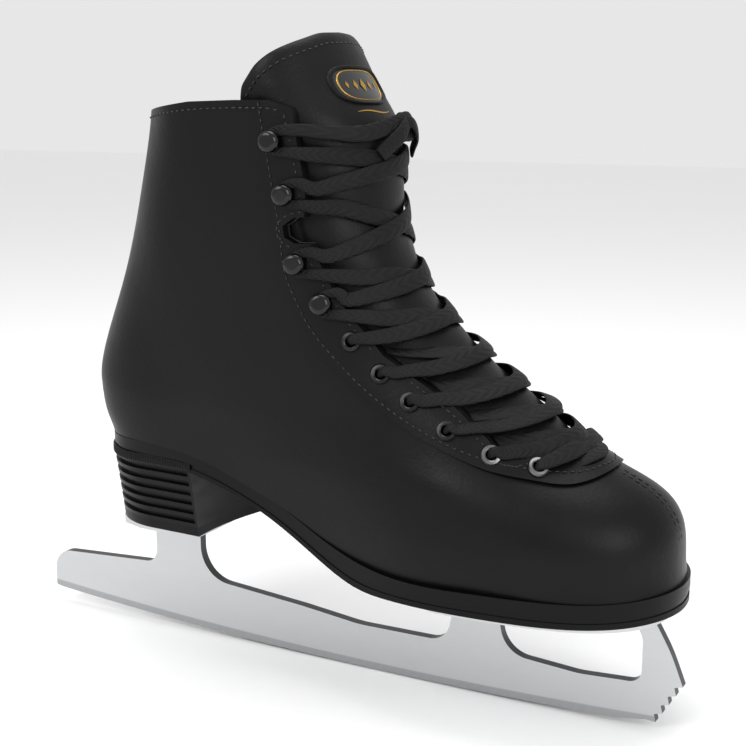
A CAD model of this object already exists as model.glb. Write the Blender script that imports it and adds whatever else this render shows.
"""A black laced figure skate: the boot's leather, lace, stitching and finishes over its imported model.

Millimetre measures describe the boot, and every Blender length is in metres. +X points to the toe,
+Y to the wearer's inner side and +Z up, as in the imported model.
"""

from __future__ import annotations

import logging
import math
from bisect import bisect_right
from collections.abc import Callable, Sequence
from dataclasses import dataclass, replace
from enum import Enum

import bmesh
import bpy
from mathutils import Matrix, Vector

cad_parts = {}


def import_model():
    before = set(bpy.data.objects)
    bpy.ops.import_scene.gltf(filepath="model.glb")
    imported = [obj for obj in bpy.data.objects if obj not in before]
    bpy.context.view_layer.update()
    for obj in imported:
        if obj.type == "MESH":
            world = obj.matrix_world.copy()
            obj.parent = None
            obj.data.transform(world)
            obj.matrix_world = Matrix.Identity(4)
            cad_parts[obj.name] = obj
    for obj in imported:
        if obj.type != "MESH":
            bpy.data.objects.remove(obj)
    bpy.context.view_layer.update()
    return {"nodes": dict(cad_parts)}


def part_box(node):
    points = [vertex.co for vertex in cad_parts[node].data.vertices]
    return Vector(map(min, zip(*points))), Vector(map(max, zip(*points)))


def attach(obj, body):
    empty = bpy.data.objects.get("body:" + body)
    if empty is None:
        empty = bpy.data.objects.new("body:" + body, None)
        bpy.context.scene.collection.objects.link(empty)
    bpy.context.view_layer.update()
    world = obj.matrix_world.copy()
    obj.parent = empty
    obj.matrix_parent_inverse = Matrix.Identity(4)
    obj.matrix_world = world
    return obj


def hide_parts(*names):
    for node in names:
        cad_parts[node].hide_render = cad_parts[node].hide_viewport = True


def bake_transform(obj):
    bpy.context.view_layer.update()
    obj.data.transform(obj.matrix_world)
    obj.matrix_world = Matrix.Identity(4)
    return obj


LOG = logging.getLogger("skate")
MM = 0.001

Pair = tuple[float, float]
Row = tuple[list[Vector], list[Vector]]


class Side(Enum):
    """The boot's two sides, as the sign of Y."""

    LEFT = 1
    RIGHT = -1


# ---------------------------------------------------------------- boot shape


@dataclass(frozen=True)
class Curve:
    """A smooth value along a line, through (place, value) stations."""

    stations: tuple[Pair, ...]

    def _chord(self, i: int) -> float:
        """Return the straight slope from a station to the next."""
        (p0, v0), (p1, v1) = self.stations[i], self.stations[i + 1]
        return (v1 - v0) / (p1 - p0)

    def _slope(self, i: int) -> float:
        """Return the curve's slope at a station, 0 where it turns back."""
        last = len(self.stations) - 1
        if i in (0, last):
            return self._chord(min(i, last - 1))
        before, after = self._chord(i - 1), self._chord(i)
        return 2 * before * after / (before + after) if before * after > 0 else 0.0

    def at(self, place: float) -> float:
        """Return the value at a place.

        Args:
            place: where to read, held to the stations' range.

        Returns:
            The value, smooth and without overshoot between stations.
        """
        if place <= self.stations[0][0]:
            return self.stations[0][1]
        if place >= self.stations[-1][0]:
            return self.stations[-1][1]
        i = bisect_right([p for p, _ in self.stations], place) - 1
        (p0, v0), (p1, v1) = self.stations[i], self.stations[i + 1]
        span = p1 - p0
        t = (place - p0) / span
        m0, m1 = self._slope(i) * span, self._slope(i + 1) * span
        return (
            (2 * t**3 - 3 * t**2 + 1) * v0
            + (t**3 - 2 * t**2 + t) * m0
            + (3 * t**2 - 2 * t**3) * v1
            + (t**3 - t**2) * m1
        )

    def lean(self, place: float) -> float:
        """Return how much longer a slanted wall makes a level cut through its thickness."""
        step = 0.5
        slope = (self.at(place + step) - self.at(place - step)) / (2 * step)
        return math.sqrt(1 + slope**2)


@dataclass(frozen=True)
class BootShape:
    """The closed outer surface of the upper, in millimetres.

    Every curve runs up in z. The back and front give x, the halves give the half width at stations_x,
    and the rounds give how far from an end the plan starts to round in.
    """

    back: Curve = Curve(((46, -102), (84, -102), (92, -103.5), (101, -107), (117, -109), (131, -106),
                         (149, -99), (171, -91), (201, -82), (225, -77), (262, -73)))
    front: Curve = Curve(((46, 144), (62, 145.5), (72, 144.5), (81, 142.5), (88, 138), (93, 131.5),
                          (98.7, 120), (103, 112), (111.5, 101.5), (122.6, 86), (131.5, 72), (141, 60.5),
                          (150, 50), (160, 41), (174, 33.5), (189, 29), (210, 28), (220, 26), (231, 21.5),
                          (244, 15.5), (262, 7)))
    heel_half: Curve = Curve(((46, 28), (92, 29.5), (112, 31.5), (135, 31), (160, 32), (190, 35),
                              (230, 37.5)))
    arch_half: Curve = Curve(((46, 28), (75, 30.5), (95, 33.5), (120, 35), (150, 35.5), (190, 37),
                              (230, 38.5)))
    ball_half: Curve = Curve(((46, 40), (57, 41.5), (72, 43.5), (90, 41), (110, 36), (135, 32)))
    toe_half: Curve = Curve(((46, 36), (57, 37.5), (72, 38.5), (88, 35), (105, 28)))
    back_round: Curve = Curve(((50, 29), (92, 30), (130, 34), (170, 38), (230, 38)))
    front_round_left: Curve = Curve(((50, 30), (80, 32), (90, 48), (97, 62), (110, 56), (131, 56),
                                     (150, 46), (174, 36), (200, 33)))
    front_round_right: Curve = Curve(((50, 46), (80, 46), (90, 56), (97, 64), (110, 56), (131, 56),
                                      (150, 46), (174, 36), (200, 33)))
    stations_x: tuple[float, float, float, float] = (-80.0, -12.0, 68.0, 112.0)
    search: float = 60.0
    halvings: int = 24

    def ends(self, z: float, inset: float = 0.0) -> Pair:
        """Return the back and front x at a height, moved in by a wall thickness."""
        return (
            self.back.at(z) + inset * self.back.lean(z),
            self.front.at(z) - inset * self.front.lean(z),
        )

    def half_width(self, x: float, z: float, side: Side, inset: float = 0.0) -> float:
        """Return the half width at a place.

        Args:
            x: place along the foot.
            z: height.
            side: which side of the boot, as its toe and heel are not alike.
            inset: how far the surface is moved in, as for a wall's inner face.

        Returns:
            The half width, 0 past the ends.
        """
        back, front = self.ends(z, inset)
        halves = (self.heel_half.at(z), self.arch_half.at(z), self.ball_half.at(z), self.toe_half.at(z))
        flat = Curve(tuple(zip(self.stations_x, halves))).at(x) - inset
        back_round = self.back_round.at(z) - inset
        rounds = self.front_round_left if side is Side.LEFT else self.front_round_right
        front_round = rounds.at(z) - inset
        to_back = max(0.0, min(1.0, (back + back_round - x) / back_round))
        to_front = max(0.0, min(1.0, (x - front + front_round) / front_round))
        return flat * math.sqrt(1 - to_back**2) * math.sqrt(1 - to_front**2)

    def normal(self, x: float, z: float, side: Side) -> Vector:
        """Return the outward unit normal at a place in side view."""
        back, front = self.ends(z)
        step = 0.4
        margin = step * 1.05
        x = min(max(x, back + margin), front - margin)
        across = (self.half_width(x + step, z, side) - self.half_width(x - step, z, side)) / (2 * step)
        upward = (self.half_width(x, z + step, side) - self.half_width(x, z - step, side)) / (2 * step)
        return Vector((-across, side.value, -upward)).normalized()

    def point(self, x: float, z: float, side: Side, lift: float = 0.0) -> Vector:
        """Return a point on the surface, in metres.

        Args:
            x: place along the foot, in millimetres.
            z: height, in millimetres.
            side: which side of the boot.
            lift: how far outside the surface the point is, in millimetres.

        Returns:
            The point, held between the boot's ends.
        """
        back, front = self.ends(z)
        x = min(max(x, back), front)
        spot = Vector((x, side.value * self.half_width(x, z, side), z))
        return (spot + self.normal(x, z, side) * lift) * MM

    def front_x(self, y: float, z: float) -> float:
        """Return x on the front of the surface at a sideways place and height."""
        side = Side.LEFT if y >= 0 else Side.RIGHT
        _, front = self.ends(z)
        low, high = front - self.search, front
        for _ in range(self.halvings):
            middle = (low + high) / 2
            if self.half_width(middle, z, side) > abs(y):
                low = middle
            else:
                high = middle
        return (low + high) / 2

    def front_normal(self, y: float, z: float) -> Vector:
        """Return the outward unit normal on the front of the surface."""
        step = 0.8
        across = (self.front_x(y + step, z) - self.front_x(y - step, z)) / (2 * step)
        upward = (self.front_x(y, z + step) - self.front_x(y, z - step)) / (2 * step)
        return Vector((1.0, -across, -upward)).normalized()

    def front_point(self, y: float, z: float, lift: float = 0.0) -> Vector:
        """Return a point on the front of the surface, in metres."""
        spot = Vector((self.front_x(y, z), y, z))
        return (spot + self.front_normal(y, z) * lift) * MM


@dataclass(frozen=True)
class Pattern:
    """The boot's cut lines in side view, as (x, z) in millimetres."""

    feather: Curve = Curve(((-112, 92), (-69, 91.5), (-44, 88), (-25, 81), (-5, 73.5), (10, 66.5),
                            (30, 59.5), (50, 57), (90, 57), (125, 57.5), (150, 59.5)))
    topline: tuple[Pair, ...] = ((-77, 225), (-60, 227.2), (-40, 229.6), (-20, 230.2), (-6, 230.2), (0, 229),
                                 (3.6, 226))
    facing_upper: tuple[Pair, ...] = ((4.5, 222), (6.2, 215.6), (9, 198.6), (9, 189.5))
    notch: tuple[Pair, ...] = ((8, 188.2), (4.5, 187.4), (1.4, 185.8), (0, 183.2), (1, 180.4), (4.5, 178.6))
    facing_lower: tuple[Pair, ...] = ((9.4, 177.8), (13.3, 171.5), (19.3, 160.3), (25.6, 152), (39, 138),
                                      (51.6, 130.2), (67, 121.3), (80, 111.5), (86.6, 104.8))
    throat: tuple[Pair, ...] = ((89.5, 103.6), (97, 105.4), (107.5, 107.6))
    overlay_edge: tuple[Pair, ...] = ((-10, 229.6), (-7, 213), (-4.5, 195), (-2.5, 182), (-1.5, 168),
                                      (3, 157), (10, 144.5), (25, 129.5), (37, 121), (51, 113),
                                      (67, 106.5), (83, 101), (99, 98), (111, 97), (118, 98.6),
                                      (120.5, 98.4))


# The eyelets and hooks of one side, from the top down to the toe, as (x, z).
EYELETS: tuple[Pair, ...] = ((26.5, 142.5), (38.5, 131), (51, 122), (66, 113), (82, 105.5), (97.5, 101))
HOOKS: tuple[Pair, ...] = ((-2.5, 215.5), (1.5, 196.5), (5.5, 171), (15, 156))

SHAPE = BootShape()
PATTERN = Pattern()


def dense(points: Sequence[Pair], step: float = 1.0) -> list[Pair]:
    """Return a line's points with more added along its straight runs.

    Args:
        points: the line's corners.
        step: the new points' spacing, in millimetres.
    """
    filled: list[Pair] = []
    for (x0, z0), (x1, z1) in zip(points, points[1:]):
        count = max(1, round(math.hypot(x1 - x0, z1 - z0) / step))
        filled += [(x0 + (x1 - x0) * k / count, z0 + (z1 - z0) * k / count) for k in range(count)]
    return [*filled, points[-1]]


def rounded(points: Sequence[Pair], passes: int = 3) -> list[Pair]:
    """Return a line with its corners cut off again and again, its ends kept.

    Args:
        points: the line's corners.
        passes: how many times its corners are cut.
    """
    line = list(points)
    for _ in range(passes):
        cut = [line[0]]
        for (x0, z0), (x1, z1) in zip(line, line[1:]):
            cut.append((x0 * 0.75 + x1 * 0.25, z0 * 0.75 + z1 * 0.25))
            cut.append((x0 * 0.25 + x1 * 0.75, z0 * 0.25 + z1 * 0.75))
        line = [*cut, line[-1]]
    return line


# ---------------------------------------------------------------- mesh helpers

MERGE_CORD = 1e-6
MERGE_SKIN = 5e-6
SHARP_DEG = 50.0


def squarish(value: float, power: float) -> float:
    """Return a sine or cosine whose ellipse is squared off, more so at a lower power."""
    return math.copysign(abs(value) ** power, value)


def new_object(name: str, mesh: bmesh.types.BMesh) -> bpy.types.Object:
    """Return a linked, smooth-shaded object.

    Args:
        name: the object's name.
        mesh: its bmesh, which is freed.
    """
    data = bpy.data.meshes.new(name)
    mesh.to_mesh(data)
    mesh.free()
    data.shade_smooth()
    made = bpy.data.objects.new(name, data)
    bpy.context.scene.collection.objects.link(made)
    return made


def bent_grid(
    name: str, columns: int, rows: int, place: Callable[[float, float], Vector], flip: bool = False
) -> bpy.types.Object:
    """Return a grid whose unit square is bent onto a surface.

    Args:
        name: the new object's name.
        columns: faces along u.
        rows: faces along v.
        place: where the square's point (u, v) goes, in metres.
        flip: whether to turn the faces over.

    Returns:
        The bent grid, with a UV map of its square.
    """
    mesh = bmesh.new()
    mesh.loops.layers.uv.new("UVMap")
    bmesh.ops.create_grid(mesh, x_segments=columns, y_segments=rows, size=0.5, calc_uvs=True)
    for vert in mesh.verts:
        vert.co = place(vert.co.x + 0.5, vert.co.y + 0.5)
    if flip:
        bmesh.ops.reverse_faces(mesh, faces=mesh.faces)
    return new_object(name, mesh)


def thicken(piece: bpy.types.Object, thickness: float, bevel: float = 0.35) -> None:
    """Give a sheet a thickness on its inner side and soften its cut edges.

    Args:
        piece: the sheet.
        thickness: in millimetres.
        bevel: the edge's softening, in millimetres.
    """
    solid = piece.modifiers.new("Thickness", "SOLIDIFY")
    solid.thickness = thickness * MM
    solid.offset = -1.0
    soft = piece.modifiers.new("Edge", "BEVEL")
    soft.width = bevel * MM
    soft.segments = 2
    soft.angle_limit = math.radians(SHARP_DEG)


def sweep(
    name: str, path: Sequence[Vector], ups: Sequence[Vector], sizes: Sequence[Pair], corners: int = 16
) -> bpy.types.Object:
    """Return a flat cord swept along a path.

    Args:
        name: the object's name.
        path: the middle line, in metres.
        ups: the flat face's normal at each point.
        sizes: the width and thickness at each point, in millimetres.
        corners: points round the section.

    Returns:
        The cord as one closed skin.
    """
    last = len(path) - 1
    section_power = 0.7

    def place(u: float, v: float) -> Vector:
        """Return a place on the cord's skin, u along it and v round it."""
        i, angle = round(u * last), 2 * math.pi * v
        along = (path[min(i + 1, last)] - path[max(i - 1, 0)]).normalized()
        across = along.cross(ups[i]).normalized()
        up = across.cross(along)
        width, thick = sizes[i]
        out = squarish(math.cos(angle), section_power) * width / 2
        rise = squarish(math.sin(angle), section_power) * thick / 2
        return path[i] + (across * out + up * rise) * MM

    piece = bent_grid(name, last, corners, place)
    mesh = bmesh.new()
    mesh.from_mesh(piece.data)
    bmesh.ops.remove_doubles(mesh, verts=mesh.verts, dist=MERGE_CORD)
    ends = [edge for edge in mesh.edges if edge.is_boundary]
    bmesh.ops.holes_fill(mesh, edges=ends, sides=corners)
    bmesh.ops.recalc_face_normals(mesh, faces=mesh.faces)
    mesh.to_mesh(piece.data)
    mesh.free()
    return piece


@dataclass(frozen=True)
class Thread:
    """The size and spacing of a row of stitches, in millimetres."""

    length: float = 2.1
    pitch: float = 2.9
    width: float = 0.62
    height: float = 0.5


def stitches(name: str, rows: Sequence[Row], thread: Thread = Thread()) -> bpy.types.Object:
    """Return rows of stitches as one piece of small beads of thread.

    Args:
        name: the object's name.
        rows: each row's path and the surface normals along it, in metres.
        thread: the stitch's size.

    Returns:
        The rows as one object.
    """
    mesh = bmesh.new()
    for path, normals in rows:
        run = 0.0
        due = thread.pitch * MM * 0.5
        for i in range(1, len(path)):
            reach = (path[i] - path[i - 1]).length
            while reach > 0 and run + reach >= due:
                share = (due - run) / reach
                spot = path[i - 1].lerp(path[i], share)
                up = normals[i - 1].lerp(normals[i], share).normalized()
                along = (path[i] - path[i - 1]).normalized()
                across = up.cross(along).normalized()
                turn = Matrix((along, across, up)).transposed().to_4x4()
                size = Matrix.Diagonal(
                    (thread.length / 2 * MM, thread.width / 2 * MM, thread.height / 2 * MM, 1.0)
                )
                bmesh.ops.create_icosphere(
                    mesh, subdivisions=1, radius=1.0, matrix=Matrix.Translation(spot) @ turn @ size
                )
                due += thread.pitch * MM
            run += reach
    return new_object(name, mesh)


def surface_row(points: Sequence[Pair], side: Side, lift: float) -> Row:
    """Return a side view line as a path on the boot, with its normals.

    Args:
        points: the line's corners, as (x, z) in millimetres.
        side: the side of the boot that it is on.
        lift: how far outside the surface it runs, in millimetres.
    """
    line = dense(points, 0.7)
    return [SHAPE.point(x, z, side, lift) for x, z in line], [SHAPE.normal(x, z, side) for x, z in line]


def moved_in(points: Sequence[Pair], distance: float) -> list[Pair]:
    """Return a side view line moved to the left of its direction.

    Args:
        points: the line's corners.
        distance: how far it moves, in millimetres, or less than 0 for the right.
    """
    moved: list[Pair] = []
    last = len(points) - 1
    for i, (x, z) in enumerate(points):
        (x0, z0), (x1, z1) = points[max(i - 1, 0)], points[min(i + 1, last)]
        reach = math.hypot(x1 - x0, z1 - z0) or 1.0
        moved.append((x - (z1 - z0) / reach * distance, z + (x1 - x0) / reach * distance))
    return moved


# ---------------------------------------------------------------- wrapping round the boot


class Wrap:
    """Places on the boot by the arc from its front or back middle, in millimetres."""

    STEP = 2.0
    SPOKES = 90
    NORMAL_STEP = 2.5

    def __init__(self, low: float, high: float, reach: float, front: bool = True) -> None:
        """Measure the level sections.

        Args:
            low: lowest height used.
            high: highest height used.
            reach: how far along x the sections go from the middle.
            front: whether the arc starts at the front middle, not the back one.
        """
        self.low, self.front = low, front
        self.count = math.ceil((high - low) / self.STEP) + 1
        self.sections = [
            {side: self._section(low + k * self.STEP, side, reach) for side in Side}
            for k in range(self.count)
        ]

    def _section(self, z: float, side: Side, reach: float) -> tuple[list[float], list[Vector]]:
        """Return the arcs and points of one level on one side."""
        back, front = SHAPE.ends(z)
        points: list[Vector] = []
        for k in range(self.SPOKES + 1):
            away = reach * (k / self.SPOKES) ** 2
            x = front - away if self.front else back + away
            points.append(Vector((x, side.value * SHAPE.half_width(x, z, side), z)))
        arcs = [0.0]
        for a, b in zip(points, points[1:]):
            arcs.append(arcs[-1] + (b - a).length)
        return arcs, points

    def _on(self, k: int, arc: float) -> Vector:
        """Return the point at an arc on a level section."""
        arcs, points = self.sections[k][Side.LEFT if arc >= 0 else Side.RIGHT]
        want = abs(arc)
        i = min(max(bisect_right(arcs, want), 1), len(arcs) - 1)
        return points[i - 1].lerp(points[i], (want - arcs[i - 1]) / max(arcs[i] - arcs[i - 1], 1e-6))

    def spot(self, arc: float, z: float) -> Vector:
        """Return a surface point, in millimetres.

        Args:
            arc: the way round from the middle, positive to the left.
            z: height, held to the measured range.
        """
        place = max(0.0, min(self.count - 1.001, (z - self.low) / self.STEP))
        k = int(place)
        return self._on(k, arc).lerp(self._on(k + 1, arc), place - k)

    def normal(self, arc: float, z: float) -> Vector:
        """Return the outward unit normal."""
        step = self.NORMAL_STEP
        across = self.spot(arc + step, z) - self.spot(arc - step, z)
        upward = self.spot(arc, z + step) - self.spot(arc, z - step)
        normal = across.cross(upward).normalized()
        return normal if self.front else -normal

    def point(self, arc: float, z: float, lift: float = 0.0) -> Vector:
        """Return a point off the surface, in metres."""
        return (self.spot(arc, z) + self.normal(arc, z) * lift) * MM

    def arc_of(self, x: float, z: float, side: Side) -> float:
        """Return the signed arc of a side view place."""
        place = max(0.0, min(self.count - 1, (z - self.low) / self.STEP))
        arcs, points = self.sections[round(place)][side]
        best = min(range(len(points)), key=lambda i: abs(points[i].x - x))
        return side.value * arcs[best]


# ---------------------------------------------------------------- finishes


def linear(code: str) -> tuple[float, float, float, float]:
    """Return a linear colour from an sRGB hex value."""
    values = [int(code[i : i + 2], 16) / 255 for i in (1, 3, 5)]
    r, g, b = (c / 12.92 if c <= 0.04045 else ((c + 0.055) / 1.055) ** 2.4 for c in values)
    return r, g, b, 1.0


# A Mix node's colour sockets: its two inputs and its output.
MIX_A, MIX_B, MIX_OUT = 6, 7, 2


def add(
    tree: bpy.types.NodeTree, kind: str, inputs: dict[int | str, object] | None = None, **settings: object
) -> bpy.types.Node:
    """Return a new node.

    Args:
        tree: the material's nodes.
        kind: the node's type.
        inputs: each input's value, or the socket that is linked to it.
        settings: the node's own settings.

    Returns:
        The node.
    """
    node = tree.nodes.new(kind)
    for key, value in settings.items():
        setattr(node, key, value)
    for key, value in (inputs or {}).items():
        if isinstance(value, bpy.types.NodeSocket):
            tree.links.new(value, node.inputs[key])
        else:
            node.inputs[key].default_value = value
    return node


@dataclass(frozen=True)
class Finish:
    """A surface: its two colours, its gloss and the two scales of its pattern, in millimetres.

    The grain is the fine relief and the blotch is the slow change of colour and gloss. Stretch is how
    many times finer the pattern is along each axis.
    """

    name: str
    colour: str
    tint: str
    roughness: Pair = (0.45, 0.6)
    grain_mm: float = 1.0
    grain_height_mm: float = 0.05
    blotch_mm: float = 18.0
    metallic: float = 0.0
    coat: float = 0.0
    sheen: float = 0.0
    specular: float = 0.5
    stretch: tuple[float, float, float] = (1.0, 1.0, 1.0)
    coat_roughness: float = 0.08
    sheen_roughness: float = 0.4

    def begin(self) -> tuple[bpy.types.Material, bpy.types.NodeTree, bpy.types.Node]:
        """Return a new material, its tree and its shader, with the fixed sockets set."""
        made = bpy.data.materials.new(self.name)
        made.use_nodes = True
        tree = made.node_tree
        shader = next(node for node in tree.nodes if node.type == "BSDF_PRINCIPLED")
        fixed = {
            "Metallic": self.metallic, "Coat Weight": self.coat, "Coat Roughness": self.coat_roughness,
            "Sheen Weight": self.sheen, "Sheen Roughness": self.sheen_roughness,
            "Specular IOR Level": self.specular,
        }
        for socket, value in fixed.items():
            shader.inputs[socket].default_value = value
        return made, tree, shader

    def place(self, tree: bpy.types.NodeTree) -> bpy.types.NodeSocket:
        """Return the pattern's coordinates, in metres."""
        where = add(tree, "ShaderNodeTexCoord")
        size = {"Vector": where.outputs["Object"], "Scale": self.stretch}
        return add(tree, "ShaderNodeMapping", size).outputs[0]

    def grain(self, tree: bpy.types.NodeTree, place: bpy.types.NodeSocket) -> bpy.types.NodeSocket:
        """Return the fine relief, from 0 to 1."""
        size = {"Vector": place, "Scale": 1 / (self.grain_mm * MM), "Detail": 3.0, "Roughness": 0.6}
        return add(tree, "ShaderNodeTexNoise", size).outputs["Fac"]

    def shade(
        self, tree: bpy.types.NodeTree, shader: bpy.types.Node, place: bpy.types.NodeSocket,
        relief: bpy.types.NodeSocket,
    ) -> bpy.types.NodeSocket:
        """Link the relief, the roughness and the blotched colour, and return the colour's socket."""
        patches = {"Vector": place, "Scale": 1 / (self.blotch_mm * MM), "Detail": 4.0}
        blotch = add(tree, "ShaderNodeTexNoise", patches)
        share = add(
            tree, "ShaderNodeMath", {0: blotch.outputs["Fac"], 1: relief, 2: 0.1},
            operation="MULTIPLY_ADD", use_clamp=True,
        )
        low, high = self.roughness
        rough = add(
            tree, "ShaderNodeMapRange",
            {"Value": blotch.outputs["Fac"], "From Min": 0.3, "From Max": 0.7, "To Min": low, "To Max": high},
        )
        tree.links.new(rough.outputs["Result"], shader.inputs["Roughness"])
        pair = {"Factor": share.outputs[0], MIX_A: linear(self.colour), MIX_B: linear(self.tint)}
        colours = add(tree, "ShaderNodeMix", pair, data_type="RGBA")
        height = {"Height": relief, "Distance": self.grain_height_mm * MM, "Strength": 1.0}
        bump = add(tree, "ShaderNodeBump", height)
        tree.links.new(bump.outputs["Normal"], shader.inputs["Normal"])
        tree.links.new(colours.outputs[MIX_OUT], shader.inputs["Base Color"])
        return colours.outputs[MIX_OUT]

    def material(self) -> bpy.types.Material:
        """Return the finished material."""
        made, tree, shader = self.begin()
        place = self.place(tree)
        self.shade(tree, shader, place, self.grain(tree, place))
        return made


@dataclass(frozen=True)
class Leather(Finish):
    """Tumbled cow leather with a fine pebble between its creases."""

    def grain(self, tree: bpy.types.NodeTree, place: bpy.types.NodeSocket) -> bpy.types.NodeSocket:
        """Return rounded pebbles with shallow folds."""
        fine = 1 / (self.grain_mm * MM)
        cells = add(tree, "ShaderNodeTexVoronoi", {"Vector": place, "Scale": fine}, feature="SMOOTH_F1")
        slow = {"Vector": place, "Scale": 0.25 / (self.grain_mm * MM), "Detail": 5.0}
        folds = add(tree, "ShaderNodeTexNoise", slow)
        mixed = add(tree, "ShaderNodeMath", {0: cells.outputs["Distance"], 1: 0.55}, operation="MULTIPLY")
        parts = {0: folds.outputs["Fac"], 1: mixed.outputs[0]}
        relief = add(tree, "ShaderNodeMath", parts, operation="SUBTRACT")
        return relief.outputs[0]


@dataclass(frozen=True)
class Woven(Finish):
    """Plain woven cloth, whose threads cross in two directions."""

    def grain(self, tree: bpy.types.NodeTree, place: bpy.types.NodeSocket) -> bpy.types.NodeSocket:
        """Return the crossing threads' relief."""
        scale = math.pi / 10 / (self.grain_mm * MM)
        size = {"Vector": place, "Scale": scale, "Distortion": 0.6}
        warp, weft = (add(tree, "ShaderNodeTexWave", size, bands_direction=way) for way in ("DIAGONAL", "Z"))
        threads = {0: warp.outputs["Fac"], 1: weft.outputs["Fac"]}
        return add(tree, "ShaderNodeMath", threads, operation="MAXIMUM").outputs[0]


@dataclass(frozen=True)
class Braid(Finish):
    """Flat tubular braid, whose plaits meet in chevrons along the lace."""

    length_mm: float = 1000.0
    girth_mm: float = 17.0
    plait_mm: float = 1.5
    plait_width_mm: float = 2.1

    def place(self, tree: bpy.types.NodeTree) -> bpy.types.NodeSocket:
        """Return places along the lace, from its own UV map."""
        where = add(tree, "ShaderNodeTexCoord")
        size = {"Vector": where.outputs["UV"], "Scale": (self.length_mm * MM, self.girth_mm * MM, 1.0)}
        return add(tree, "ShaderNodeMapping", size).outputs[0]

    def grain(self, tree: bpy.types.NodeTree, place: bpy.types.NodeSocket) -> bpy.types.NodeSocket:
        """Return the chevrons' relief."""
        parts = add(tree, "ShaderNodeSeparateXYZ", {"Vector": place})
        lengths = {0: parts.outputs[0], 1: 1 / (self.plait_mm * MM)}
        along = add(tree, "ShaderNodeMath", lengths, operation="MULTIPLY")
        widths = {0: parts.outputs[1], 1: 1 / (self.plait_width_mm * MM)}
        across = add(tree, "ShaderNodeMath", widths, operation="MULTIPLY")
        fold = add(tree, "ShaderNodeMath", {0: across.outputs[0], 1: 1.0}, operation="PINGPONG")
        shifted = add(tree, "ShaderNodeMath", {0: along.outputs[0], 1: fold.outputs[0]}, operation="ADD")
        turns = add(tree, "ShaderNodeMath", {0: shifted.outputs[0], 1: 2 * math.pi}, operation="MULTIPLY")
        wave = add(tree, "ShaderNodeMath", {0: turns.outputs[0]}, operation="SINE")
        lifted = add(tree, "ShaderNodeMath", {0: wave.outputs[0], 1: 0.5, 2: 0.5}, operation="MULTIPLY_ADD")
        return lifted.outputs[0]


@dataclass(frozen=True)
class GroundSteel(Finish):
    """Satin rolled steel with a darker band where its running edge was ground, and dark cut edges."""

    rocker_mm: float = 2130.0
    rocker_x: float = 28.0
    band_mm: float = 3.0
    band_soft_mm: float = 0.3
    band: str = "#a3a5a7"
    cut_edge: str = "#4a4b4e"

    def material(self) -> bpy.types.Material:
        """Return the steel, with the band measured up from the rocker."""
        made, tree, shader = self.begin()
        place = self.place(tree)
        colour = self.shade(tree, shader, place, self.grain(tree, place))
        where = add(tree, "ShaderNodeTexCoord")
        parts = add(tree, "ShaderNodeSeparateXYZ", {"Vector": where.outputs["Object"]})
        middle = {0: parts.outputs[0], 1: self.rocker_x * MM}
        away = add(tree, "ShaderNodeMath", middle, operation="SUBTRACT")
        square = add(tree, "ShaderNodeMath", {0: away.outputs[0], 1: 2.0}, operation="POWER")
        rocker = {0: square.outputs[0], 1: -1 / (2 * self.rocker_mm * MM), 2: parts.outputs[2]}
        rise = add(tree, "ShaderNodeMath", rocker, operation="MULTIPLY_ADD")
        bottom, top = self.band_mm - self.band_soft_mm, self.band_mm + self.band_soft_mm
        edge = add(
            tree, "ShaderNodeMapRange",
            {"Value": rise.outputs[0], "From Min": bottom * MM, "From Max": top * MM},
        )
        layers = {"Factor": edge.outputs["Result"], MIX_A: linear(self.band), MIX_B: colour}
        ground = add(tree, "ShaderNodeMix", layers, data_type="RGBA")
        facing = add(tree, "ShaderNodeSeparateXYZ", {"Vector": where.outputs["Normal"]})
        level = add(tree, "ShaderNodeMath", {0: facing.outputs[1]}, operation="ABSOLUTE")
        flat = add(tree, "ShaderNodeMapRange", {"Value": level.outputs[0], "From Min": 0.3, "From Max": 0.7})
        side = ground.outputs[MIX_OUT]
        faces = {"Factor": flat.outputs["Result"], MIX_A: linear(self.cut_edge), MIX_B: side}
        cut = add(tree, "ShaderNodeMix", faces, data_type="RGBA")
        tree.links.new(cut.outputs[MIX_OUT], shader.inputs["Base Color"])
        return made


@dataclass(frozen=True)
class EyeletMetal(Finish):
    """Black enamelled eyelets, with bare plated ones towards the toe."""

    plated: str = "#6e6e6f"
    bare_from_x: float = 74.0

    def material(self) -> bpy.types.Material:
        """Return the enamel, with the plating past its place along the foot."""
        made, tree, shader = self.begin()
        place = self.place(tree)
        colour = self.shade(tree, shader, place, self.grain(tree, place))
        where = add(tree, "ShaderNodeTexCoord")
        parts = add(tree, "ShaderNodeSeparateXYZ", {"Vector": where.outputs["Object"]})
        limit = {0: parts.outputs[0], 1: self.bare_from_x * MM}
        past = add(tree, "ShaderNodeMath", limit, operation="GREATER_THAN")
        pair = {"Factor": past.outputs[0], MIX_A: colour, MIX_B: linear(self.plated)}
        mixed = add(tree, "ShaderNodeMix", pair, data_type="RGBA")
        tree.links.new(mixed.outputs[MIX_OUT], shader.inputs["Base Color"])
        tree.links.new(past.outputs[0], shader.inputs["Metallic"])
        return made


# Waxed cow leather: a soft satin light over a fine pebble. The hide's pores, about 0.4 mm apart, are
# drawn 1.1 mm apart, because they would not show.
BOOT_LEATHER = Leather(
    "full_grain_boot_leather", "#050505", "#090909", (0.34, 0.46), 1.1, 0.08, 24, specular=0.17
)
# Thin leather over foam: duller than the boot's, with deeper folds. Its pores are drawn twice as coarse.
SOFT_LEATHER = Leather(
    "soft_tongue_leather", "#060606", "#0a0a0b", (0.38, 0.52), 0.9, 0.11, 20, specular=0.18
)
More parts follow.
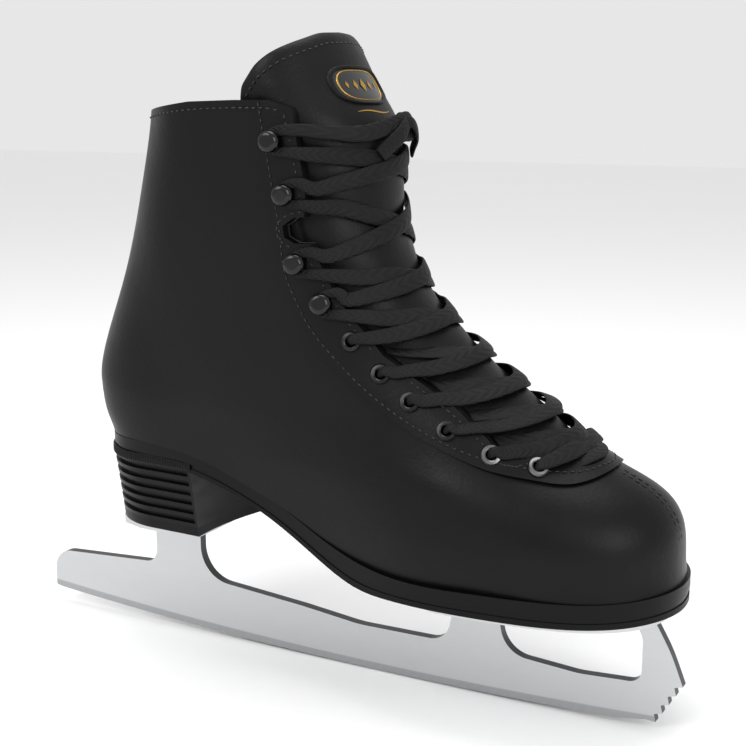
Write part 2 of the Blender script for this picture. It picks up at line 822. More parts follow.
# Brushed polyester: no gloss, and a pale bloom at its edges. Its 0.3 mm threads are drawn 0.7 mm apart.
LINING_CLOTH = Woven(
    "brushed_lining_cloth", "#0d0d0e", "#18181a", (0.8, 0.95), 0.7, 0.12, 15, sheen=0.15, specular=0.2
)
# Cloth bonded to foam: a coarser weave than the lining's. Its 0.4 mm threads are drawn 0.9 mm apart.
FOOTBED_CLOTH = Woven(
    "footbed_top_cloth", "#101012", "#1c1c1f", (0.8, 0.95), 0.9, 0.15, 12, sheen=0.15, specular=0.2
)
# Bonded nylon: a little paler and glossier than the leather, so a row reads as fine dashes.
SEWING_THREAD = Finish("bonded_nylon_thread", "#0b0b0c", "#1f1f21", (0.35, 0.5), 0.3, 0.03, 2, specular=0.5)
# Leather edges, dyed and waxed: a low shine with streaks along the layers.
WELT_EDGE = Finish(
    "waxed_welt_edge", "#040404", "#09090a", (0.28, 0.42), 0.8, 0.05, 10, specular=0.15, stretch=(0.4, 0.4, 2)
)
# Moulded black rubber: an even, dull light. The mould's 0.1 mm texture is drawn 0.7 mm wide.
SOLE_RUBBER = Finish("moulded_sole_rubber", "#050505", "#0b0b0c", (0.4, 0.55), 0.7, 0.06, 14, specular=0.14)
# Moulded plastic made to look like stacked leather: glossier than the sole, with faint level streaks.
HEEL_PLASTIC = Finish(
    "stacked_heel_plastic", "#050505", "#0b0b0c", (0.3, 0.45), 0.6, 0.05, 12, specular=0.15,
    stretch=(0.5, 0.5, 3),
)
# Pressed leather fibre: matt brown flecks. The 0.2 mm fibres are drawn 0.5 mm wide.
BOARD = Finish("leather_fibre_board", "#8a6a48", "#6d5236", (0.75, 0.9), 0.5, 0.06, 8)
# Rolled and satin-ground steel: a broad bright light with faint streaks along the blade. The grit's
# lines, about 0.05 mm apart, are drawn 0.35 mm apart.
BLADE_STEEL = GroundSteel(
    "satin_blade_steel", "#c9cacb", "#b9bbbc", (0.36, 0.46), 0.35, 0.006, 40, metallic=1.0,
    stretch=(0.06, 1, 1),
)
# Pressed and plated steel: brighter and smoother than the blade.
PLATE_STEEL = Finish("plated_plate_steel", "#c8c9cb", "#b0b2b4", (0.28, 0.4), 0.4, 0.01, 30, metallic=1.0)
# Zinc plating on steel: a cool, slightly cloudy grey.
SCREW_STEEL = Finish("zinc_screw_steel", "#b4b5b6", "#94959a", (0.3, 0.45), 0.3, 0.01, 5, metallic=1.0)
# Baked enamel on brass: small sharp highlights on black domes.
HOOK_ENAMEL = Finish(
    "gloss_black_enamel", "#040404", "#090909", (0.12, 0.2), 1.0, 0.004, 6, coat=0.15, specular=0.3
)
# Enamelled brass: black rings, and bare plated ones by the toe that catch the light.
EYELET_METAL = EyeletMetal(
    "enamelled_eyelet_brass", "#050505", "#0b0b0b", (0.25, 0.35), 0.6, 0.006, 4, specular=0.35
)
# Lacquered plastic film: a smooth black window, glossier than the leather round it.
BADGE_LACQUER = Finish("lacquered_badge_film", "#060606", "#0c0c0d", (0.25, 0.35), 0.6, 0.006, 8, coat=0.3)
# Hot-stamped foil: warm metal, a little crinkled.
GOLD_FOIL = Finish("stamped_gold_foil", "#c9a251", "#94712d", (0.3, 0.45), 0.3, 0.02, 2, metallic=1.0)
# Flat tubular cotton braid, waxed: matt chevrons. The 0.8 mm plaits are drawn 1.5 mm long.
LACE_BRAID = Braid("waxed_cotton_braid", "#070708", "#131315", (0.55, 0.7), 1.0, 0.16, 10, specular=0.2)
# Seamless paper: matt and nearly white.
PALE_FLOOR = Finish("pale_paper_floor", "#fbfbfb", "#f6f6f6", (0.85, 0.95), 6.0, 0.01, 300)


# ---------------------------------------------------------------- sub-assemblies

FRONT = Wrap(96.0, 262.0, 92.0)
BACK = Wrap(180.0, 240.0, 70.0, front=False)
# The tongue's bend runs from the first place, where it is the boot's, to the second, where it is the flap's.
MATERIALS: dict[str, bpy.types.Material] = {}


def dress(piece: bpy.types.Object, finish: Finish) -> None:
    """Give a piece its material and the record's slot.

    Args:
        piece: the piece.
        finish: its finish.
    """
    piece.data.materials.clear()
    piece.data.materials.append(material_of(finish))


def material_of(finish: Finish) -> bpy.types.Material:
    """Return a finish's material, made once."""
    if finish.name not in MATERIALS:
        MATERIALS[finish.name] = finish.material()
    return MATERIALS[finish.name]


@dataclass(frozen=True)
class Tongue:
    """The padded tongue, which rises past the collar, with its stitched border and badge.

    Half is how far the tongue reaches round the boot at a height, top is its edge's height at an arc,
    and crown is how far its middle stands out. Under is how deep its edges lie.
    """

    low: float = 103.0
    columns: int = 96
    rows: int = 110
    half: Curve = Curve(((100, 40), (112, 50), (130, 54), (160, 56), (200, 59), (222, 65), (235, 68)))
    top: Curve = Curve(((0, 258.0), (12, 257.4), (24, 254.6), (38, 250), (50, 244), (60, 236.5), (65, 231),
                        (69, 225)))
    crown: Curve = Curve(((100, 2.0), (125, 3.2), (200, 3.9), (222, 3.9), (238, 1.6), (262, 0.2)))
    widest: float = 68.0
    under: float = 4.9
    border: float = 4.6
    rim: float = 12.0
    free_from: float = 222.0
    free_over: float = 14.0
    wing: float = 1.6
    crossings: tuple[float, ...] = (112, 119, 129, 139, 151, 165, 185, 207)
    crossing_width: float = 3.2
    crossing_slant: float = 0.12
    crossing_depth: float = 0.55
    edge_thick: float = 3.6
    swell: float = 3.6
    end_from: float = 0.972
    end_share: float = 0.028
    side_power: float = 0.75
    face_power: float = 0.55
    sewn_low: float = 214.0
    sewn_lift: float = 0.05
    fold: float = 226.0
    top_steps: int = 60

    def skin(self, u: float, v: float) -> tuple[float, float, float]:
        """Return a place on the tongue's outer face.

        Args:
            u: across the tongue, from -1 to 1.
            v: up the tongue, from 0 to 1.

        Returns:
            The arc, the height and the lift off the boot's surface.
        """
        z = self.low + (self.top.at(abs(u) * self.widest) - self.low) * v
        arc = u * self.half.at(z)
        spread_to = max(self.half.at(z) - self.rim, 1.0)
        rise = max(0.0, 1 - (arc / spread_to) ** 4)
        lift = -self.under + self.crown.at(z) * rise
        free = max(0.0, min(1.0, (z - self.free_from) / self.free_over))
        lift += free * self.wing * (arc / spread_to) ** 2
        pull = sum(
            math.exp(-(((z - z0 - abs(arc) * self.crossing_slant) / self.crossing_width) ** 2))
            for z0 in self.crossings
        )
        return arc, z, lift - self.crossing_depth * min(pull, 1.0) * (1 - free)

    def place(self, u: float, v: float) -> Vector:
        """Return a place on the closed skin, u round its section and v up to its top."""
        angle = 2 * math.pi * u
        across = squarish(math.cos(angle), self.side_power)
        up = math.sin(v * math.pi / 2)
        arc, z, lift = self.skin(across, up)
        end = math.sqrt(max(0.0, 1 - max(0.0, (up - self.end_from) / self.end_share) ** 2))
        thick = (self.edge_thick + self.swell * max(0.0, 1 - across**2)) * end
        depth = thick / 2 * (1 - squarish(math.sin(angle), self.face_power))
        return FRONT.point(arc, z, lift - depth - (self.edge_thick - self.edge_thick * end) * 0.5)

    def build(self) -> None:
        tongue = bent_grid("tongue", self.columns * 2, self.rows, self.place)
        close(tongue)
        dress(tongue, SOFT_LEATHER)
        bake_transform(tongue)
        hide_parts("tongue_leather", "tongue_padding", "tongue_flap_leather", "tongue_flap_padding")
        self._thread()
        Badge(self).build()
        LOG.info("built the tongue")

    def lift(self, arc: float, z: float) -> float:
        """Return how far out the tongue's outer face is."""
        reach = self.top.at(abs(arc)) - self.low
        return self.skin(arc / self.half.at(z), (z - self.low) / reach)[2]

    def outline(self, inset: float) -> Row:
        """Return the line that runs inside the tongue's edge, and its normals.

        Args:
            inset: how far inside the edge it runs, in millimetres.

        Returns:
            The path and the boot's normals along it.
        """
        edge = self.half.at(self.fold) - inset
        tall = round(self.top.at(edge) - inset - self.sewn_low)
        rise = [(-edge, self.sewn_low + k) for k in range(tall)]
        arcs = [edge * (k / self.top_steps) for k in range(-self.top_steps, self.top_steps + 1)]
        places = [*rise, *((arc, self.top.at(abs(arc)) - inset) for arc in arcs)]
        places += [(edge, z) for _, z in reversed(rise)]
        path = [FRONT.point(arc, z, self.lift(arc, z) + self.sewn_lift) for arc, z in places]
        return path, [FRONT.normal(arc, z) for arc, z in places]

    def _thread(self) -> None:
        """Sew the border."""
        rows = stitches("tongue_border_stitches", [self.outline(self.border)])
        dress(rows, SEWING_THREAD)
        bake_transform(rows)


@dataclass(frozen=True)
class Badge:
    """A rounded film in a raised rim, with a foil line, five plain foil diamonds and a foil stroke."""

    tongue: Tongue
    half_width: float = 16.0
    half_height: float = 6.6
    width_power: float = 0.6
    height_power: float = 0.85
    middle: float = 236.8
    aside: float = -4.0
    around: int = 72
    diamonds: tuple[float, ...] = (1.4, 2.0, 2.6, 2.0, 1.4)
    diamond_gap: float = 4.9
    diamond_slim: float = 0.62
    foil_lift: float = 0.45
    stroke_half: float = 11.0
    stroke_drop: float = 10.4
    stroke_lift: float = 0.12
    stroke_thin: float = 0.12
    stroke_swell: float = 0.5
    stroke_wave: float = 0.5
    stroke_faces: tuple[int, int] = (40, 2)

    def on_tongue(self, arc: float, z: float, lift: float) -> Vector:
        """Return a place off the tongue's outer face, in metres."""
        return FRONT.point(arc, z, self.tongue.lift(arc, z) + lift)

    def ring(self, name: str, inner: float, outer: float, rise: float, rows: int = 6) -> bpy.types.Object:
        """Return a ring between two sizes of the badge's outline.

        Args:
            name: the object's name.
            inner: the inner edge, as a share of the outline's size.
            outer: the outer edge.
            rise: how far the ring stands out at its middle.
            rows: faces across the ring.
        """

        def place(u: float, v: float) -> Vector:
            """Return a place on the ring, u round it and v out from its inner edge."""
            turn, radius = -2 * math.pi * u, inner + (outer - inner) * v
            across = self.half_width * squarish(math.cos(turn), self.width_power) * radius
            up = self.half_height * squarish(math.sin(turn), self.height_power) * radius
            crown = rise * (1 - (2 * v - 1) ** 4)
            return self.on_tongue(across + self.aside, self.middle + up, crown)

        piece = bent_grid(name, self.around, rows, place)
        close(piece, outward=False)
        return piece

    def stroke(self, name: str) -> bpy.types.Object:
        """Return the foil stroke below the badge, thin at its ends."""

        def place(u: float, v: float) -> Vector:
            """Return a place on the stroke, u along it and v across it."""
            along = 2 * u - 1
            thin = self.stroke_thin + self.stroke_swell * (1 - along**2)
            wave = self.stroke_wave * math.sin(math.pi * 2 * u)
            z = self.middle - self.stroke_drop + (v - 0.5) * thin + wave
            return self.on_tongue(self.aside + along * self.stroke_half, z, self.stroke_lift)

        return bent_grid(name, *self.stroke_faces, place)

    def row(self, name: str) -> bpy.types.Object:
        """Return the row of foil diamonds, the largest in the middle."""
        mesh = bmesh.new()
        for k, size in enumerate(self.diamonds):
            aside = self.aside + (k - len(self.diamonds) // 2) * self.diamond_gap
            made = bmesh.ops.create_circle(mesh, cap_ends=True, segments=4, radius=size)
            for vert in made["verts"]:
                arc, z = aside + vert.co.x * self.diamond_slim, self.middle + vert.co.y
                vert.co = self.on_tongue(arc, z, self.foil_lift)
        return new_object(name, mesh)

    def build(self) -> None:
        """Build the film, its rim and the foil."""
        film = self.ring("badge_film", 0.02, 1.0, 0.3)
        rim = self.ring("badge_rim", 0.98, 1.16, 0.95)
        dress(film, BADGE_LACQUER)
        dress(rim, SOFT_LEATHER)
        line = self.ring("badge_foil_line", 0.84, 0.9, 0.5, 4)
        foils = (line, self.row("badge_foil_diamonds"), self.stroke("badge_foil_stroke"))
        for foil in foils:
            dress(foil, GOLD_FOIL)
        for piece in (film, rim, *foils):
            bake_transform(piece)
        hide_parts("tongue_badge")


def close(piece: bpy.types.Object, outward: bool = True) -> None:
    """Merge a bent grid's meeting edges.

    Args:
        piece: the bent grid's object.
        outward: whether it is a closed skin, whose ends are filled and whose faces are turned outward.
    """
    mesh = bmesh.new()
    mesh.from_mesh(piece.data)
    bmesh.ops.remove_doubles(mesh, verts=mesh.verts, dist=MERGE_SKIN)
    bmesh.ops.dissolve_degenerate(mesh, edges=mesh.edges, dist=MERGE_CORD)
    if outward:
        holes = [edge for edge in mesh.edges if edge.is_boundary]
        bmesh.ops.holes_fill(mesh, edges=holes, sides=0)
        bmesh.ops.recalc_face_normals(mesh, faces=mesh.faces)
    mesh.to_mesh(piece.data)
    mesh.free()
    piece.data.shade_smooth()


@dataclass(frozen=True)
class Bead:
    """A point on the lace: where it is, which way is out, and its width and thickness."""

    spot: Vector
    out: Vector
    width: float
    thick: float


LACE_WIDE, LACE_THICK = 6.8, 1.3
Track = tuple[tuple[float, float, float, float, float], ...]


@dataclass(frozen=True)
class Lacing:
    """One flat lace from its bar at the throat, up through the eyelets and hooks, to its knot.

    Each track is a run of the lace over the tongue or round a stop. A row gives two places, then the
    lift off the boot's surface, the width and the thickness in millimetres. Over the tongue the places
    are a share of the stop's arc from the middle, and millimetres up from the stop. In the two leave
    tracks the second is a share of the climb to the next stop. Through or round a stop they are
    millimetres of x and z from it. A row of the knot's turn gives an arc aside, a height and a lift.
    """

    name: str = "lace_cord"
    samples: int = 7
    over_lift: float = 1.25
    over_fade: float = 0.7
    leave_over: Track = ((0.9, 0.04, 2.3, 5.0, 1.6), (0.78, 0.1, 2.1, 5.4, 1.3), (0.58, 0.2, 0.5, 6.4, 1.3))
    leave_under: Track = (
        (0.9, 0.04, -3.0, 5.0, 1.6), (0.78, 0.1, -2.4, 5.4, 1.3), (0.58, 0.2, -1.4, 6.4, 1.3)
    )
    eyelet_near: Track = ((0.6, -2.6, -2.6, 6.4, 1.3), (0.84, -1.2, -4.2, 4.6, 1.6))
    eyelet_through: Track = (
        (0.0, 0.0, -3.0, 3.4, 2.2), (-0.2, 0.2, 1.2, 3.2, 2.2), (1.0, 0.9, 2.7, 3.8, 1.9)
    )
    hook_near: Track = ((0.58, -5.4, 0.6, 6.4, 1.3), (0.76, -4.8, 2.2, 5.4, 1.3))
    hook_round: Track = (
        (5.6, -3.9, 2.7, 4.0, 1.5), (0.6, -3.5, 2.6, 3.2, 1.7), (-3.3, -0.2, 2.6, 3.0, 1.8),
        (0.4, 3.3, 2.6, 3.2, 1.7), (5.0, 4.0, 2.7, 4.2, 1.5),
    )
    bar_near: Track = ((0.45, 3.0, 3.4, 6.8, 1.3), (0.8, 0.8, 2.9, 5.4, 1.6))
    bar_through: Track = (
        (0.0, 0.0, 2.4, 3.6, 2.0), (-0.4, 0.0, -1.0, 3.2, 2.2), (-2.0, 1.0, -3.6, 3.8, 1.8)
    )
    knot_aside: float = 4.0
    knot_wide: float = 6.2
    knot_tight: float = 4.6
    knot_thick: float = 1.5
    knot_stack: float = 0.9
    knot_tight_rows: tuple[int, int] = (2, 8)
    knot_turn: tuple[tuple[float, float, float], ...] = (
        (24, 217.5, 1.8), (13, 219.2, 2.2), (4, 221.4, 3.6), (-3.4, 221.8, 4.4), (-6.4, 219.0, 4.0),
        (-3.6, 216.2, 3.2), (1.6, 216.6, 2.6), (3.0, 219.4, 3.2), (-1.0, 220.0, 5.6), (-7.0, 216.0, 5.0),
        (-12.0, 212.5, 2.4), (-15.0, 209.8, 1.2),
    )

    def on_front(
        self, arc: float, z: float, lift: float, width: float = LACE_WIDE, thick: float = LACE_THICK
    ) -> Bead:
        """Return a lace point over the tongue, at an arc and height."""
        return Bead(FRONT.point(arc, z, lift), FRONT.normal(arc, z), width, thick)

    def near(self, stop: Pair, side: Side, track: Track) -> list[Bead]:
        """Return a run over the tongue beside a stop."""
        arc = FRONT.arc_of(*stop, side)
        return [self.on_front(arc * share, stop[1] + up, *rest) for share, up, *rest in track]

    def beside(self, stop: Pair, side: Side, track: Track) -> list[Bead]:
        """Return a run through or round a stop, on the side of the boot."""
        run: list[Bead] = []
        for along, up, lift, width, thick in track:
            x, z = stop[0] + along, stop[1] + up
            run.append(Bead(SHAPE.point(x, z, side, lift), SHAPE.normal(x, z, side), width, thick))
        return run

    def across(self, low: Pair, high: Pair, side: Side, start_out: bool = True) -> list[Bead]:
        """Return the run from one side's lower stop to the other side's higher one.

        Args:
            low: the stop that it leaves.
            high: the stop that it reaches.
            side: the side that it leaves from. A run from the right lies over one from the left.
            start_out: whether it leaves over the facing, not from under it.

        Returns:
            The run's points, without those beside the higher stop.
        """
        over = self.over_lift if side is Side.RIGHT else 0.0
        a, b = FRONT.arc_of(*low, side), FRONT.arc_of(*high, Side(-side.value))
        rise = high[1] - low[1]
        leave = self.leave_over if start_out else self.leave_under
        return [
            *(self.on_front(a * share, low[1] + rise * up, *rest) for share, up, *rest in leave),
            self.on_front(a * 0.3, low[1] + rise * 0.35, over),
            self.on_front(0.0, low[1] + rise * 0.5, 0.15 + over),
            self.on_front(b * 0.3, low[1] + rise * 0.65, -0.2 + over * self.over_fade),
        ]

    def half(self, side: Side) -> list[Bead]:
        """Return the lace from the bar at the throat, on one side first, up to the knot."""
        first, *stops = reversed(EYELETS)
        path = self.near(first, side, self.bar_near) + self.beside(first, side, self.bar_through)
        now, low = side, first
        for high in stops:
            path += self.across(low, high, now, start_out=low is not first)
            now, low = Side(-now.value), high
            path += self.near(high, now, self.eyelet_near) + self.beside(high, now, self.eyelet_through)
        for high in reversed(HOOKS):
            path += self.across(low, high, now)[1:]
            now, low = Side(-now.value), high
            path += self.near(high, now, self.hook_near) + self.beside(high, now, self.hook_round)
        return path + self.knot(now)

    def knot(self, side: Side) -> list[Bead]:
        """Return the run into the knot over the tongue, and its free end, one side's above the other's."""
        stack = self.knot_stack if side is Side.RIGHT else 0.0
        first, last = self.knot_tight_rows
        run: list[Bead] = []
        for k, (aside, z, lift) in enumerate(self.knot_turn):
            width = self.knot_tight if first <= k <= last else self.knot_wide
            arc = self.knot_aside + side.value * aside
            run.append(self.on_front(arc, z, lift + stack, width, self.knot_thick))
        return run

    def build(self) -> None:
        """Build the lace as one ribbon."""
        beads = [*reversed(self.half(Side.RIGHT)), *self.half(Side.LEFT)]
        path, outs, sizes = self._smooth(beads)
        length = sum((b - a).length for a, b in zip(path, path[1:]))
        LOG.info("lace is %.0f mm long", length / MM)
        lace = sweep(self.name, path, outs, sizes)
        dress(lace, replace(LACE_BRAID, length_mm=round(length / MM)))
        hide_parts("lace")
        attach(lace, "boot")

    def _smooth(self, beads: Sequence[Bead]) -> tuple[list[Vector], list[Vector], list[Pair]]:
        """Return the path, normals and sizes along a smooth line through the lace's points."""
        path: list[Vector] = []
        outs: list[Vector] = []
        sizes: list[Pair] = []
        last = len(beads) - 1
        for i in range(last):
            quad = [beads[max(i - 1, 0)], beads[i], beads[i + 1], beads[min(i + 2, last)]]
            gaps = [max((b.spot - a.spot).length, 1e-4) ** 0.5 for a, b in zip(quad, quad[1:])]
            m1 = (quad[1].spot - quad[0].spot) / gaps[0] - (quad[2].spot - quad[0].spot) / (gaps[0] + gaps[1])
            m1 = (m1 + (quad[2].spot - quad[1].spot) / gaps[1]) * gaps[1]
            m2 = (quad[2].spot - quad[1].spot) / gaps[1] - (quad[3].spot - quad[1].spot) / (gaps[1] + gaps[2])
            m2 = (m2 + (quad[3].spot - quad[2].spot) / gaps[2]) * gaps[1]
            for k in range(self.samples):
                t = k / self.samples
                spot = quad[1].spot * (2 * t**3 - 3 * t**2 + 1) + m1 * (t**3 - 2 * t**2 + t)
                spot = spot + quad[2].spot * (3 * t**2 - 2 * t**3) + m2 * (t**3 - t**2)
                path.append(spot)
                outs.append(quad[1].out.lerp(quad[2].out, t).normalized())
                width = quad[1].width * (1 - t) + quad[2].width * t
                sizes.append((width, quad[1].thick * (1 - t) + quad[2].thick * t))
        return path, self._steady(path, outs), sizes

    def _steady(self, path: Sequence[Vector], outs: Sequence[Vector]) -> list[Vector]:
        """Return the flat face's normals, held steady where the lace dives through an eyelet."""
        last = len(path) - 1
        across: list[Vector] = []
        for i, out in enumerate(outs):
            along = (path[min(i + 1, last)] - path[max(i - 1, 0)]).normalized()
            side = along.cross(out)
            if across and (side.length < 0.5 or side.normalized().dot(across[-1]) < 0):
                side = across[-1] - along * across[-1].dot(along)
            across.append(side.normalized())
        steady: list[Vector] = []
        for i in range(len(path)):
            around = across[max(0, i - 3) : i + 4]
            mean = sum(around, Vector()).normalized()
            along = (path[min(i + 1, last)] - path[max(i - 1, 0)]).normalized()
            steady.append(mean.cross(along).normalized())
        return steady


@dataclass(frozen=True)
class Collar:
    """The soft roll inside the boot's rim, round its back, which thins towards its front ends."""

    front_x: float = -29.5
    level: float = 226.0
    tall: float = 12.5
    thick: float = 3.1
    middle: float = 5.9
    end_share: float = 0.12
    end_tall: float = 0.4
    power: float = 0.8
    tuck: float = 0.35
    tuck_turn: float = 0.42
    below_rim: float = 1.0
    faces: tuple[int, int] = (150, 36)

    def place(self, u: float, v: float) -> Vector:
        """Return a place on the roll, u round the boot and v round its section."""
        arc = (2 * u - 1) * BACK.arc_of(self.front_x, self.level, Side.LEFT)
        top = Curve(PATTERN.topline).at(BACK.spot(arc, self.level).x) - self.below_rim
        past = max(0.0, (abs(2 * u - 1) - 1 + self.end_share) / self.end_share)
        end = math.sqrt(max(0.0, 1 - past**2))
        face, rise = math.cos(2 * math.pi * v), math.sin(2 * math.pi * v)
        deep = squarish(face, self.power) * self.thick * end
        tuck = self.tuck * math.sin(arc * self.tuck_turn) * max(0.0, -face) * (1 - abs(rise))
        half = self.tall * (self.end_tall + (1 - self.end_tall) * end)
        z = top - self.tall + squarish(rise, self.power) * half
        return BACK.point(arc, z, deep + tuck - self.middle)

    def build(self) -> None:
        roll = bent_grid("collar_roll", *self.faces, self.place)
        close(roll)
        dress(roll, LINING_CLOTH)
        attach(roll, "boot")
        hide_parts("collar_padding")
        LOG.info("built the collar roll")


@dataclass(frozen=True)
class Footbed:
    """The cloth-topped foam footbed, hollowed at the heel and raised under the arch."""

    inset: float = 7.4
    half_thick: float = 1.7
    above_feather: float = 4.8
    heel_x: float = -40.0
    dish: float = 0.5
    thin_from: float = 6.0
    end_gap: float = 0.4
    side_power: float = 0.85
    face_power: float = 0.6
    faces: tuple[int, int] = (110, 40)

    def build(self) -> None:
        """Build the footbed inside its CAD solid's place."""
        low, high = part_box("footbed")
        back, front = low[0] / MM + self.end_gap, high[0] / MM - self.end_gap

        def place(u: float, v: float) -> Vector:
            """Return a place on the footbed, u along the foot and v round its section."""
            x = back + (front - back) * (1 - math.cos(math.pi * u)) / 2
            c, s = math.cos(2 * math.pi * v), math.sin(2 * math.pi * v)
            side = Side.LEFT if c >= 0 else Side.RIGHT
            floor = PATTERN.feather.at(x)
            half = SHAPE.half_width(x, floor, side, self.inset)
            dish = self.dish * (abs(c) ** 2 if x < self.heel_x else 0.0)
            thick = self.half_thick * min(1.0, half / self.thin_from)
            z = floor + self.above_feather + thick * squarish(s, self.face_power) + dish
            return Vector((x, squarish(c, self.side_power) * half, z)) * MM

        bed = bent_grid("footbed_cushion", *self.faces, place)
        close(bed)
        dress(bed, FOOTBED_CLOTH)
        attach(bed, "boot")
        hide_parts("footbed")
        LOG.info("built the footbed")


@dataclass(frozen=True)
class Sewing:
    """The upper's rows of stitches, proud on the overlay and backstay and flush on the quarters."""

    proud: float = 1.42
    flush: float = 0.08
    below_rim: float = 2.8
    facing_in: float = 2.6
    notch_in: float = 2.2
    corner_in: float = 2.4
    overlay_in: float = 1.8
    stay_in: float = 0.45
    stay_top: int = 222
    stay_low: int = 98
    toe_half: float = 1.6
    toe_top: float = 98.0
    toe_drop: float = 24.5
    toe_steps: int = 70

    def rows(self) -> dict[str, list[Row]]:
        """Return every row of stitches.

        Returns:
            Each seam's rows, under the seam's name.
        """
        seams: dict[str, list[Row]] = {
            "topline": [], "facing_edge": [], "overlay": [], "toe_seam": [], "backstay": []
        }
        rim = [(x, z - self.below_rim) for x, z in PATTERN.topline]
        for side in Side:
            seams["topline"].append(surface_row(rounded(rim[:-3]), side, self.flush))
            seams["topline"].append(surface_row(rim[-4:-1], side, self.proud))
            front_edge = [PATTERN.topline[-1], *PATTERN.facing_upper]
            upper = moved_in(rounded(front_edge), -self.facing_in)
            lower = moved_in(rounded(PATTERN.facing_lower), -self.facing_in)
            notch = moved_in(rounded(PATTERN.notch), -self.notch_in)
            corner = moved_in(rounded([PATTERN.facing_lower[-1], *PATTERN.throat]), -self.corner_in)
            for row in (upper, lower, notch, corner):
                seams["facing_edge"].append(surface_row(row, side, self.proud))
            overlay = moved_in(rounded(PATTERN.overlay_edge), self.overlay_in)
            seams["overlay"].append(surface_row(overlay, side, self.proud))
            seams["backstay"].append(self.strip(side))
        seams["toe_seam"] = [self.toe(self.toe_half), self.toe(-self.toe_half)]
        return seams

    def strip(self, side: Side) -> Row:
        """Return a row down one edge of the backstay."""
        line = [(SHAPE.back.at(z) + self.stay_in, z) for z in range(self.stay_top, self.stay_low, -1)]
        return surface_row(line, side, self.proud)

    def toe(self, aside: float) -> Row:
        """Return a row beside the toe's middle seam."""
        steps = self.toe_steps
        heights = [self.toe_top - self.toe_drop * k / steps for k in range(steps + 1)]
        path = [SHAPE.front_point(aside, z, self.flush) for z in heights]
        return path, [SHAPE.front_normal(aside, z) for z in heights]

    def build(self) -> None:
        """Sew every seam as one piece of thread each."""
        for seam, rows in self.rows().items():
            piece = stitches(f"{seam}_stitches", rows)
            dress(piece, SEWING_THREAD)
            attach(piece, "boot")
        LOG.info("sewed the upper")


@dataclass(frozen=True)
class HeelBand:
    """The finely ribbed band round the top of the heel block."""

    back_x: float = -104.45
    front_x: float = -49.5
    half: float = 29.15
    round_x: float = 27.0
    low: float = 82.5
    tall: float = 4.0
    pitch: float = 1.3
    proud: float = 0.36
    stand_off: float = 0.05
    thick: float = 0.4
    soften: float = 0.05
    back_slim: float = 0.9
    back_fill: float = 0.2
    flare: float = 0.09
    flare_to_x: float = -20.0
    level: float = 92.0
    drop_share: float = 0.9
    rib_faces: int = 6
    rows: int = 8

    def outline(self, share: float, side: Side) -> Vector:
        """Return a place on the heel's wall, from its back middle at 0 to its front corner at 1."""
        straight = self.front_x - self.back_x - self.round_x
        curved = math.pi / 2 * (self.round_x + self.half) / 2
        run = share * (straight + curved)
        if run < curved:
            turn = math.pi / 2 * run / curved
            x = self.back_x + self.round_x * (1 - math.cos(turn))
            y = self.half * math.sin(turn) * (self.back_slim + self.back_fill * turn / math.pi)
        else:
            past = run - curved
            x = self.back_x + self.round_x + past
            y = self.half * (1 + self.flare * past / (self.flare_to_x - self.back_x - self.round_x))
        return Vector((x, side.value * y, 0.0))

    def place(self, u: float, v: float) -> Vector:
        """Return a place on the band, u round the heel from its right corner to its left."""
        side = Side.RIGHT if u < 0.5 else Side.LEFT
        share = abs(2 * u - 1)
        step = 0.01
        spot, near = self.outline(share, side), self.outline(max(share - step, 0.0), side)
        ahead = self.outline(min(share + step, 1.0), side)
        along = (ahead - near) if side is Side.LEFT else (near - ahead)
        if share < step:
            along = Vector((0.0, 1.0, 0.0))
        out = Vector((-along.y, along.x, 0.0)).normalized()
        drop = max(0.0, self.level - PATTERN.feather.at(spot.x)) * self.drop_share
        edge = 1 - (2 * v - 1) ** 8
        wave = 0.5 + 0.5 * math.cos(2 * math.pi * u * self._ribs())
        height = self.low + (self.tall - drop * 0.5) * v
        return (spot + out * (self.stand_off + self.proud * wave * edge) + Vector((0, 0, height))) * MM

    def _ribs(self) -> int:
        """Return how many ribs fit round the heel."""
        curved = math.pi / 4 * (self.round_x + self.half)
        return round(2 * (self.front_x - self.back_x - self.round_x + curved) / self.pitch)

    def build(self) -> None:
        """Build the band."""
        columns = self._ribs() * self.rib_faces
        band = bent_grid("heel_ribbed_band", columns, self.rows, self.place, flip=True)
        thicken(band, self.thick, self.soften)
        dress(band, HEEL_PLASTIC)
        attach(band, "boot")
        LOG.info("built the heel's ribbed band")


@dataclass(frozen=True)
class Frame:
    """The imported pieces, each dressed in the first finish whose start its name has."""

    finishes: tuple[tuple[str, Finish], ...] = (
        ("blade", BLADE_STEEL), ("sole_plate_screws", SCREW_STEEL), ("heel_plate_screws", SCREW_STEEL),
        ("sole_plate", PLATE_STEEL), ("heel_plate", PLATE_STEEL), ("heel_nails", SCREW_STEEL),
        ("outsole", SOLE_RUBBER), ("midsole", WELT_EDGE), ("welt", WELT_EDGE), ("heel_block", HEEL_PLASTIC),
        ("heel_top", SOLE_RUBBER), ("insole", BOARD), ("shank", SCREW_STEEL), ("lining", LINING_CLOTH),
        ("eyelets", EYELET_METAL), ("hook", HOOK_ENAMEL), ("heel_counter", BOARD), ("toe_puff", BOARD),
        ("facing_stay", LINING_CLOTH), ("lace", LACE_BRAID), ("badge", BADGE_LACQUER),
        ("collar", LINING_CLOTH), ("footbed", FOOTBED_CLOTH), ("tongue", SOFT_LEATHER), ("", BOOT_LEATHER),
    )

    def dress(self, nodes: dict[str, bpy.types.Object]) -> None:
        """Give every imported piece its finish."""
        for name, node in nodes.items():
            finish = next(finish for start, finish in self.finishes if name.startswith(start))
            material = material_of(finish)
            if node.material_slots:
                for entry in node.material_slots:
                    entry.material = material
            else:
                node.data.materials.append(material)
            LOG.info("dressed %s in %s", name, finish.name)


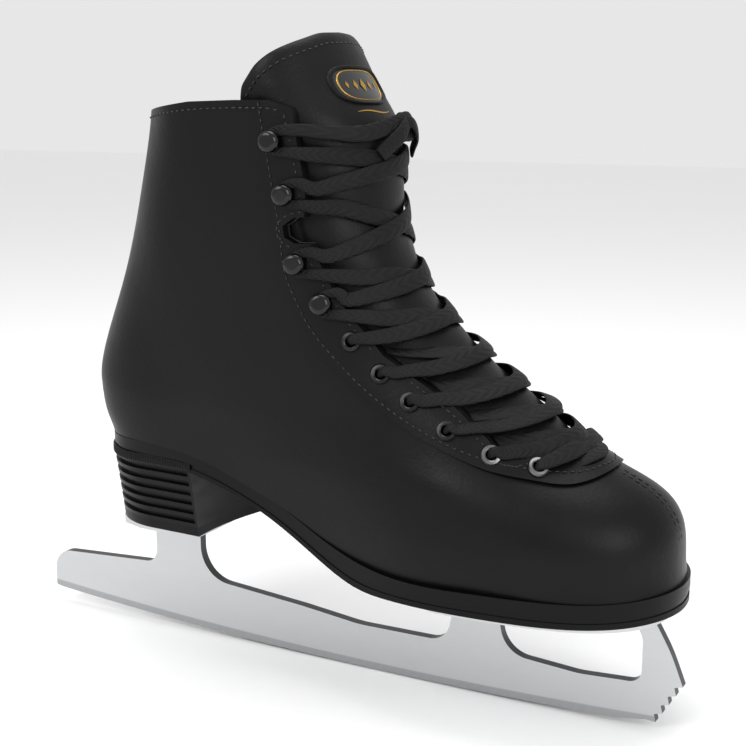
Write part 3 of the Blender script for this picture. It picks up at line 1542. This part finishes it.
@dataclass(frozen=True)
class Studio:
    """The floor, the lights and the camera, in metres.

    Each lamp is its name, its place, its width and its power in watts.
    """

    eye: tuple[float, float, float] = (0.2642, -0.4622, 0.232)
    turn_deg: tuple[float, float, float] = (78.36, 0.0, 28.0)
    lens_mm: float = 65.15
    sensor_mm: float = 36.0
    aim: tuple[float, float, float] = (0.01, 0.0, 0.12)
    lamps: tuple[tuple[str, tuple[float, float, float], float, float], ...] = (
        ("key", (-0.35, -0.9, 0.95), 0.7, 7.0),
        ("front_fill", (0.95, -0.55, 0.55), 0.6, 4.5),
        ("top", (0.05, 0.1, 1.1), 0.6, 4.0),
    )
    sky: float = 0.8
    floor_wide: float = 8.0
    floor_drop: float = 0.0004

    def area(self, name: str, place: tuple[float, float, float], size: float, watts: float) -> None:
        """Add a soft square light that looks at the boot.

        Args:
            name: the lamp's name.
            place: where it hangs.
            size: its width.
            watts: its power.
        """
        data = bpy.data.lights.new(name, "AREA")
        data.shape, data.size, data.energy = "SQUARE", size, watts
        lamp = bpy.data.objects.new(name, data)
        lamp.location = place
        away = Vector(self.aim) - Vector(place)
        lamp.rotation_euler = away.to_track_quat("-Z", "Y").to_euler()
        bpy.context.scene.collection.objects.link(lamp)

    def on_floor(self, u: float, v: float) -> Vector:
        """Return a place on the floor, whose middle is under the boot."""
        wide = self.floor_wide
        return Vector((u * wide - wide / 2, v * wide - wide / 2, -self.floor_drop))

    def build(self) -> None:
        """Set up the studio."""
        floor = bent_grid("floor", 2, 2, self.on_floor)
        floor.data.materials.append(PALE_FLOOR.material())
        world = bpy.data.worlds.new("studio")
        world.use_nodes = True
        background = world.node_tree.nodes["Background"]
        background.inputs["Color"].default_value = (1.0, 1.0, 1.0, 1.0)
        background.inputs["Strength"].default_value = self.sky
        bpy.context.scene.world = world
        bpy.context.scene.view_settings.view_transform = "Standard"
        for lamp in self.lamps:
            self.area(*lamp)
        data = bpy.data.cameras.new("camera")
        data.lens, data.sensor_width = self.lens_mm, self.sensor_mm
        data.clip_start, data.clip_end = 0.01, 50.0
        camera = bpy.data.objects.new("camera", data)
        camera.location = self.eye
        camera.rotation_euler = [math.radians(turn) for turn in self.turn_deg]
        bpy.context.scene.collection.objects.link(camera)
        bpy.context.scene.camera = camera


def main() -> None:
    """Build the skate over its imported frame."""
    logging.basicConfig(level=logging.INFO, format="%(message)s")
    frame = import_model()
    Frame().dress(frame["nodes"])
    Tongue().build()
    Lacing().build()
    Collar().build()
    Footbed().build()
    Sewing().build()
    HeelBand().build()
    Studio().build()


if __name__ == "__main__":
    main()
